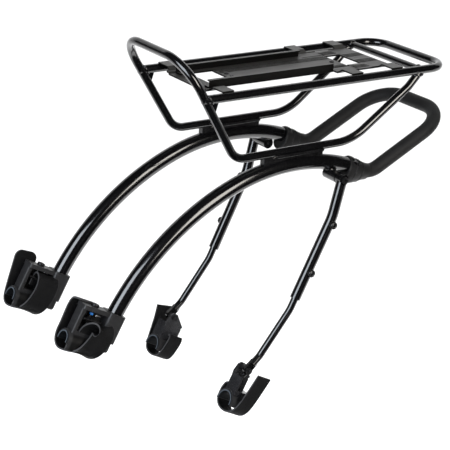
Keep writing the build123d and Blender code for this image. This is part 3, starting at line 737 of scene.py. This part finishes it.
class RACK_OT_front_straps(Operator):
    """Make the wide straps of the two front feet"""

    bl_idname = "rack.front_straps"
    bl_label = "Front straps"

    def execute(self, context):
        sizes = context.scene.rack_pieces
        right = [(5, -3.8, 20), (5, -3.8, 29), (5, -4.6, 35.0), (5.4, -7.6, 37.2), (6.4, -12.0, 35.8)]
        right += [(7.6, -15.2, 30.4), (8.2, -16.2, 21), (7.0, -16.2, 9), (4.6, -14.6, -2), (1.2, -8.8, -9.4)]
        right += [(-2.4, -1, -11.6), (-7, 8.5, -10.9), (-9.4, 13.0, -5), (-11.4, 13.5, 7), (-14, 13.6, 21)]
        right += [(-16.4, 13.7, 36), (-18.2, 13.8, 46), (-19, 13.9, 53.8)]
        left = [(2, -5.8, 12), (2.6, -6.4, 18), (5.0, -9.4, 23.6), (9.4, -13.4, 26.6), (13.2, -15.6, 22.5)]
        left += [(12.2, -16.0, 13), (9.6, -15.4, 3.5), (6.2, -13.2, -4), (2.2, -8.2, -9.2), (-2.4, -1, -11.0)]
        left += [(-8, 8.5, -10.6), (-10.6, 13.2, -5), (-12, 14.6, 4), (-12.6, 13.2, 14), (-12.4, 14.6, 26)]
        left += [(-12.2, 15.4, 37), (-12, 13.6, 44), (-12, 9.6, 46.7), (-12, 5.9, 46.8)]
        stations = {"right": right, "left": left}
        for side in SIDES:
            foot = FootFrame(f"front_cradle_{side}", FRONT_FOOT_SHIFT)
            make_strap(
                f"front_strap_{side}",
                f"arc_strap_{side}",
                foot,
                stations[side],
                sizes.arc_strap_width,
                sizes.strap_thickness,
                "rack",
                round_end=0.0085,
            )
        return {"FINISHED"}


class RACK_OT_strut_straps(Operator):
    """Make the straps of the two strut feet"""

    bl_idname = "rack.strut_straps"
    bl_label = "Strut straps"

    def execute(self, context):
        sizes = context.scene.rack_pieces
        looped = [(2.5, -11.0, 17.4), (2.5, -15.0, 19.2), (2.0, -19.0, 16.4), (1.4, -20.6, 9.0), (0.8, -19.8, 0.0)]
        looped += [(0, -15.4, -7.6), (0, -8.0, -11.4), (0, 0, -12.3), (0.4, 8.5, -11.2), (1.4, 14.4, -7.0)]
        looped += [(2.6, 18.2, 0.5), (3.6, 20.2, 11.0), (4.0, 22.2, 22.5), (4.2, 24.4, 35.0), (4.4, 26.0, 46.0)]
        plain = [(3, -12.5, 21), (3, -16.0, 23.0), (2.6, -18.4, 18), (1, -18.4, 8), (0, -17.2, -2.5)]
        plain += [(0, -12.0, -10.4), (0, 0, -12.5), (-0.4, 11.5, -10.6), (-1.0, 16.4, -3), (-2.2, 17.4, 8)]
        plain += [(-3.6, 18.4, 22), (-5.8, 19.2, 38), (-7.8, 19.8, 50.0)]
        stations = {"left": looped, "right": plain}
        for side, sign in SIDES.items():
            foot = FootFrame(f"lower_cradle_{side}", STRUT_FOOT_SHIFT, sign)
            make_strap(
                f"strut_strap_{side}_band",
                f"strut_strap_{side}",
                foot,
                stations[side],
                sizes.strut_strap_width,
                sizes.strap_thickness * 0.95,
                f"strut_foot_{side}",
                skew_end=0.0 if side == "left" else 0.0012,
            )
        return {"FINISHED"}


# ---------------------------------------------------------------- sleeves, welds and small parts


def ring_points(centre, first, second, radii, count=48, power=2.0):
    """A closed ring of points on a superellipse in the plane of two axes."""
    points = []
    for step in range(count):
        angle = 2 * math.pi * step / count
        c, n = math.cos(angle), math.sin(angle)
        across = math.copysign(abs(c) ** (2 / power), c) * radii[0]
        upward = math.copysign(abs(n) ** (2 / power), n) * radii[1]
        points.append(centre + first * across + second * upward)
    return points


def ridge_ring(name, ring, axis, thickness, ripple, body, finish):
    """A closed bead along a ring of points, rippled like a weld or plain like a rim."""
    middle = sum(ring, Vector()) / len(ring)
    verts, faces = [], []
    sides = 10
    for index, point in enumerate(ring):
        outward = (point - middle).normalized()
        swell = thickness * (1 + ripple * math.cos(math.pi * index))
        for step in range(sides):
            angle = 2 * math.pi * step / sides
            out, along = math.cos(angle) * swell, math.sin(angle) * swell * 1.25
            verts.append(point + outward * out + axis * along)
    for index in range(len(ring)):
        after = (index + 1) % len(ring)
        for step in range(sides):
            ahead = (step + 1) % sides
            here, there = index * sides, after * sides
            faces.append((here + step, here + ahead, there + ahead, there + step))
    return new_mesh(name, verts, faces, body, finish)


def dome(name, base, axes, radii, height, body, finish, power=2.6):
    """A soft moulded mound on a surface, its axes given as two in the surface and one out of it."""
    first, second, up = axes
    rings = []
    for step in range(7):
        angle = math.pi / 2 * step / 6
        spread_out = max(math.cos(angle), 0.04)
        centre = base + up * height * math.sin(angle)
        rings.append(ring_points(centre, first, second, [r * spread_out for r in radii], 28, power))
    verts, faces = loft_rings(rings)
    return new_mesh(name, verts, faces, body, finish)


# Distance along the sleeve, half width, half height and drop of its middle, in millimetres
SLEEVE_SECTIONS = (
    (-1.0, 12.1, 14.7, 4.6),
    (3.0, 12.3, 15.2, 4.9),
    (10.0, 12.4, 15.6, 5.6),
    (16.0, 12.1, 14.8, 4.9),
    (22.0, 11.4, 12.8, 3.2),
    (28.0, 10.7, 11.4, 1.5),
    (33.4, 10.2, 10.6, 0.2),
)
SLEEVE_FORWARD = Vector((0.9161, 0.0, -0.401))
SLEEVE_UPWARD = Vector((0.401, 0.0, 0.9161))
SLEEVE_FRONT = (0.3603, 0.06575, 0.156)


def sleeve_section(sign, distance):
    """Centre, half width and half height of a sleeve at a distance from its front, in metres."""
    for before, after in zip(SLEEVE_SECTIONS, SLEEVE_SECTIONS[1:]):
        if before[0] <= distance <= after[0]:
            mix = (distance - before[0]) / (after[0] - before[0])
            _, wide, high, drop = (b + (a - b) * mix for b, a in zip(before, after))
            break
    else:
        raise RuntimeError(f"no sleeve section at {distance}")
    x, y, z = SLEEVE_FRONT
    front = Vector((x, sign * y, z))
    centre = front + SLEEVE_FORWARD * (distance / 1000) - SLEEVE_UPWARD * (drop / 1000)
    return centre, wide / 1000, high / 1000


class RACK_OT_sleeves(Operator):
    """Make the rims, bumps and ribs of the two elbow sleeves"""

    bl_idname = "rack.sleeves"
    bl_label = "Sleeves"

    def execute(self, context):
        plastic = material("sleeve_plastic")
        rings = (
            ("rim", -1.0, 0.0004, 0.0008),
            ("rib_a", 9.5, 0.0003, 0.00055),
            ("rib_b", 20.5, 0.0003, 0.00055),
        )
        bumps = (("front", 3.2, 0.0046, 0.0024), ("rear", 13.6, 0.0042, 0.0022))
        for side, sign in SIDES.items():
            for label, distance, sunk, thickness in rings:
                centre, wide, high = sleeve_section(sign, distance)
                ring = ring_points(centre, AXIS_Y, SLEEVE_UPWARD, (wide - sunk, high - sunk), 64)
                ridge_ring(f"sleeve_{label}_{side}", ring, SLEEVE_FORWARD, thickness, 0.0, "rack", plastic)
            for label, distance, reach, height in bumps:
                centre, wide, high = sleeve_section(sign, distance)
                base = centre + SLEEVE_UPWARD * (high - 0.0012)
                axes = (AXIS_Y, SLEEVE_FORWARD, SLEEVE_UPWARD)
                dome(f"sleeve_bump_{label}_{side}", base, axes, (0.0064, reach), height, "rack", plastic)
        return {"FINISHED"}


# Height of the lower rails' middle, and half the thickness of the webs below them
RAIL_HEIGHT = 0.186
WEB_HALF = 0.0046


def plate_between(name, outline, near, far, body, finish):
    """A closed plate: an outline of (x, z) points carried from one side to the other along Y."""
    rings = [[Vector((x, y, z)) for x, z in outline] for y in (near, far)]
    verts, faces = loft_rings(rings)
    piece = new_mesh(name, verts, faces, body, finish)
    for polygon in piece.data.polygons:
        polygon.use_smooth = False
    return piece


class RACK_OT_saddles(Operator):
    """Make the webs that tie the lower rails down to the arcs"""

    bl_idname = "rack.saddles"
    bl_label = "Saddles"

    def execute(self, context):
        rail = RAIL_HEIGHT
        web = [(0.236, rail - 0.001), (0.246, rail - 0.001), (0.249, rail - 0.004), (0.256, rail)]
        web += [(0.321, rail), (0.3185, 0.167), (0.3, 0.168), (0.27, 0.167), (0.252, 0.166), (0.236, 0.1635)]
        flange = [(0.252, rail - 0.002), (0.3205, rail - 0.002), (0.32, rail - 0.0052), (0.2525, rail - 0.0052)]
        foot = [(0.238, 0.1575), (0.2465, 0.1605), (0.2482, 0.1725), (0.2392, 0.1645)]
        for side, sign in SIDES.items():
            node = f"side_bracket_{side}"
            low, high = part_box(node)
            middle = (low[1] + high[1]) / 2
            finish = material("saddle_paint")
            near, far = middle - sign * WEB_HALF, middle + sign * WEB_HALF
            piece = plate_between(f"saddle_web_{side}", web, near, far, "rack", finish)
            add_bevel(piece, context.scene.rack_pieces.edge_round)
            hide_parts(node)
            for label, outline, half in (("flange", flange, 0.0068), ("foot", foot, 0.0064)):
                near, far = middle - half, middle + half
                part = plate_between(f"saddle_{label}_{side}", outline, near, far, "rack", finish)
                add_bevel(part, context.scene.rack_pieces.edge_round)
        return {"FINISHED"}


# How far a bolt's centre is inside the box round both bolts
CLAMP_BOLT_INSET = 0.0042
# Kind, radius, distance behind the bolt's outer face, and thickness
CLAMP_RINGS = (("rim", 0.0036, 0.0011, 0.0011), ("lip", 0.0021, 0.0002, 0.0005))


class RACK_OT_clamp_bolts(Operator):
    """Make the raised rims and the socket lips of the bolts that lock the struts' length"""

    bl_idname = "rack.clamp_bolts"
    bl_label = "Clamp bolts"

    def execute(self, context):
        finish = material("gloss_black_paint")
        for side, sign in SIDES.items():
            low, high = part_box(f"strut_clamp_bolts_{side}")
            outer = high[1] if sign > 0 else low[1]
            body = f"strut_upper_{side}"
            centres = {
                "upper": Vector((high[0] - CLAMP_BOLT_INSET, outer, high[2] - CLAMP_BOLT_INSET)),
                "lower": Vector((low[0] + CLAMP_BOLT_INSET, outer, low[2] + CLAMP_BOLT_INSET)),
            }
            for label, centre in centres.items():
                for kind, radius, back, thickness in CLAMP_RINGS:
                    ring = ring_points(centre - AXIS_Y * sign * back, AXIS_X, AXIS_Z, (radius, radius))
                    name = f"clamp_{kind}_{label}_{side}"
                    ridge_ring(name, ring, AXIS_Y, thickness, 0.0, body, finish)
        return {"FINISHED"}


class RACK_OT_welds(Operator):
    """Make the weld beads where the painted tubes meet"""

    bl_idname = "rack.welds"
    bl_label = "Welds"

    def execute(self, context):
        bead = context.scene.rack_pieces.weld_bead
        paint = material("gloss_black_paint")
        leg = Vector((-0.511, 0.0, 0.8595))
        rise = Vector((0.687, 0.0, 0.7267))
        for side, sign in SIDES.items():
            joints = (
                ("deck_to_leg", (0.1572, sign * 0.07, 0.263), (AXIS_Y, leg * 1.16), (0.0054, 0.0054), AXIS_X),
                ("rise_to_deck", (0.4575, sign * 0.0697, 0.2575), (AXIS_Y, AXIS_X), (0.005, 0.0066), AXIS_Z),
                ("cross_to_deck", (0.462, sign * 0.0642, 0.263), (AXIS_X, AXIS_Z), (0.0044, 0.0044), AXIS_Y),
                ("boss_to_arc", (0.3355, sign * 0.0668, 0.1555), (AXIS_Y, AXIS_X), (0.006, 0.0062), AXIS_Z),
            )
            for name, centre, (first, second), radii, axis in joints:
                ring = ring_points(Vector(centre), first, second, radii)
                ridge_ring(f"weld_{name}_{side}", ring, axis, bead, 0.16, "rack", paint)
        return {"FINISHED"}


# Label, place along, across and square to the stay, and radius
BRACKET_BOLTS = {
    "left": (("upper", -0.004, 0.0085, 0.0445, 0.0026), ("lower", -0.0052, 0.0025, 0.037, 0.003)),
    "right": (("upper", 0.0015, -0.0062, 0.0395, 0.0019), ("lower", -0.0035, -0.0062, 0.0285, 0.0016)),
}


class RACK_OT_foot_details(Operator):
    """Make the small parts of the feet: cradle lips, thread lock, strap catches, rolls and bolts"""

    bl_idname = "rack.foot_details"
    bl_label = "Foot details"

    def execute(self, context):
        plastic = material("foot_plastic")
        for side in SIDES:
            foot = FootFrame(f"front_cradle_{side}", FRONT_FOOT_SHIFT)
            self.lip(foot, f"cradle_lip_{side}", plastic)
            if side == "left":
                self.patch(foot, "thread_lock")
            spot = foot.at(0.0035, -0.0048, 0.0365) if side == "left" else foot.at(0.004, -0.0062, 0.0398)
            plate = ring_points(spot, foot.along, foot.normal, (0.0034, 0.0012), 24, 4.0)
            rings = [plate, [p - foot.side * 0.0008 for p in plate]]
            verts, faces = loft_rings(rings)
            new_mesh(f"strap_catch_{side}", verts, faces, "rack", material("plated_steel"))
        for side, sign in SIDES.items():
            foot = FootFrame(f"lower_cradle_{side}", STRUT_FOOT_SHIFT, sign)
            body = f"strut_foot_{side}"
            self.roll(foot, f"strap_roll_{side}", body)
            out = foot.side if side == "left" else -foot.side
            axes = (foot.along, foot.normal, out)
            for label, s, w, n, radius in BRACKET_BOLTS[side]:
                name = f"bracket_bolt_{label}_{side}"
                radii, height = (radius, radius), radius * 0.7
                dome(name, foot.at(s, w, n), axes, radii, height, body, material("black_steel"), 2.0)
        return {"FINISHED"}

    def lip(self, foot, name, plastic):
        """The rounded end of the cradle's near leg."""
        rings = []
        for s in (-0.0236, -0.0226, -0.018, -0.006, 0.012, 0.0165, 0.0175):
            shrink = 0.62 if s in (-0.0236, 0.0175) else 1.0
            centre = foot.at(s, -0.0106, -0.0042)
            rings.append(ring_points(centre, foot.side, foot.normal, (0.0013 * shrink, 0.0052 * shrink), 28, 3.0))
        verts, faces = loft_rings(rings)
        new_mesh(name, verts, faces, "rack", plastic)

    def patch(self, foot, name):
        """A patch of dried thread lock round the tension screw."""
        rings = []
        for n, radius in ((0.0348, 0.00205), (0.0354, 0.0024), (0.0372, 0.00245), (0.0378, 0.00205)):
            rings.append(ring_points(foot.at(-0.003, 0, n), foot.along, foot.side, (radius, radius), 24))
        verts, faces = loft_rings(rings)
        new_mesh(name, verts, faces, "rack", material("thread_lock_blue"))

    def roll(self, foot, name, body):
        """The rolled end of the strap tucked beside the cradle."""
        line = []
        for step in range(40):
            angle = math.radians(-70 + 460 * step / 39)
            radius = 0.0016 + 0.0022 * step / 39
            line.append((0.0165 + radius * math.cos(angle) * 0.8, 0.0125 + radius * math.sin(angle) * 1.5))
        rings = []
        for index, (w, n) in enumerate(line):
            before, after = line[max(0, index - 1)], line[min(39, index + 1)]
            heading = Vector((after[0] - before[0], after[1] - before[1])).normalized()
            out = Vector((heading.y, -heading.x)) * 0.0005
            ring = []
            for s, side in ((-0.0085, 1), (0.0085, 1), (0.0085, -1), (-0.0085, -1)):
                ring.append(foot.at(s, w + out.x * side, n + out.y * side))
            rings.append(ring)
        verts, faces = loft_rings(rings)
        new_mesh(name, verts, faces, body, material("strap_webbing"))


# ---------------------------------------------------------------- panel and start


class RACK_PT_panel(Panel):
    """Lists the rack's settings and steps"""

    bl_idname = "RACK_PT_panel"
    bl_label = "Rear rack"
    bl_space_type = "VIEW_3D"
    bl_region_type = "UI"
    bl_category = "Rack"

    def draw(self, context):
        for group in (context.scene.rack_finish, context.scene.rack_pieces, context.scene.rack_stage):
            box = self.layout.box()
            for key in group.__annotations__:
                box.prop(group, key)
        for step in STEPS:
            self.layout.operator(step.bl_idname)


STEPS = (
    RACK_OT_stage,
    RACK_OT_finishes,
    RACK_OT_front_straps,
    RACK_OT_strut_straps,
    RACK_OT_sleeves,
    RACK_OT_saddles,
    RACK_OT_clamp_bolts,
    RACK_OT_welds,
    RACK_OT_foot_details,
)
GROUPS = {
    "rack_finish": RackFinishSettings,
    "rack_pieces": RackPieceSettings,
    "rack_stage": RackStageSettings,
}


def register():
    """Registers the settings, the steps and the panel."""
    for group in GROUPS.values():
        bpy.utils.register_class(group)
    for key, group in GROUPS.items():
        setattr(bpy.types.Scene, key, PointerProperty(type=group))
    for cls in (*STEPS, RACK_PT_panel):
        bpy.utils.register_class(cls)


def unregister():
    """Takes the panel, the steps and the settings away again."""
    for cls in reversed((*STEPS, RACK_PT_panel)):
        bpy.utils.unregister_class(cls)
    for key in GROUPS:
        delattr(bpy.types.Scene, key)
    for group in reversed(tuple(GROUPS.values())):
        bpy.utils.unregister_class(group)


def main():
    """Makes the whole rack in order."""
    register()
    for step in STEPS:
        area, name = step.bl_idname.split(".")
        getattr(getattr(bpy.ops, area), name)()


if __name__ == "__main__":
    main()
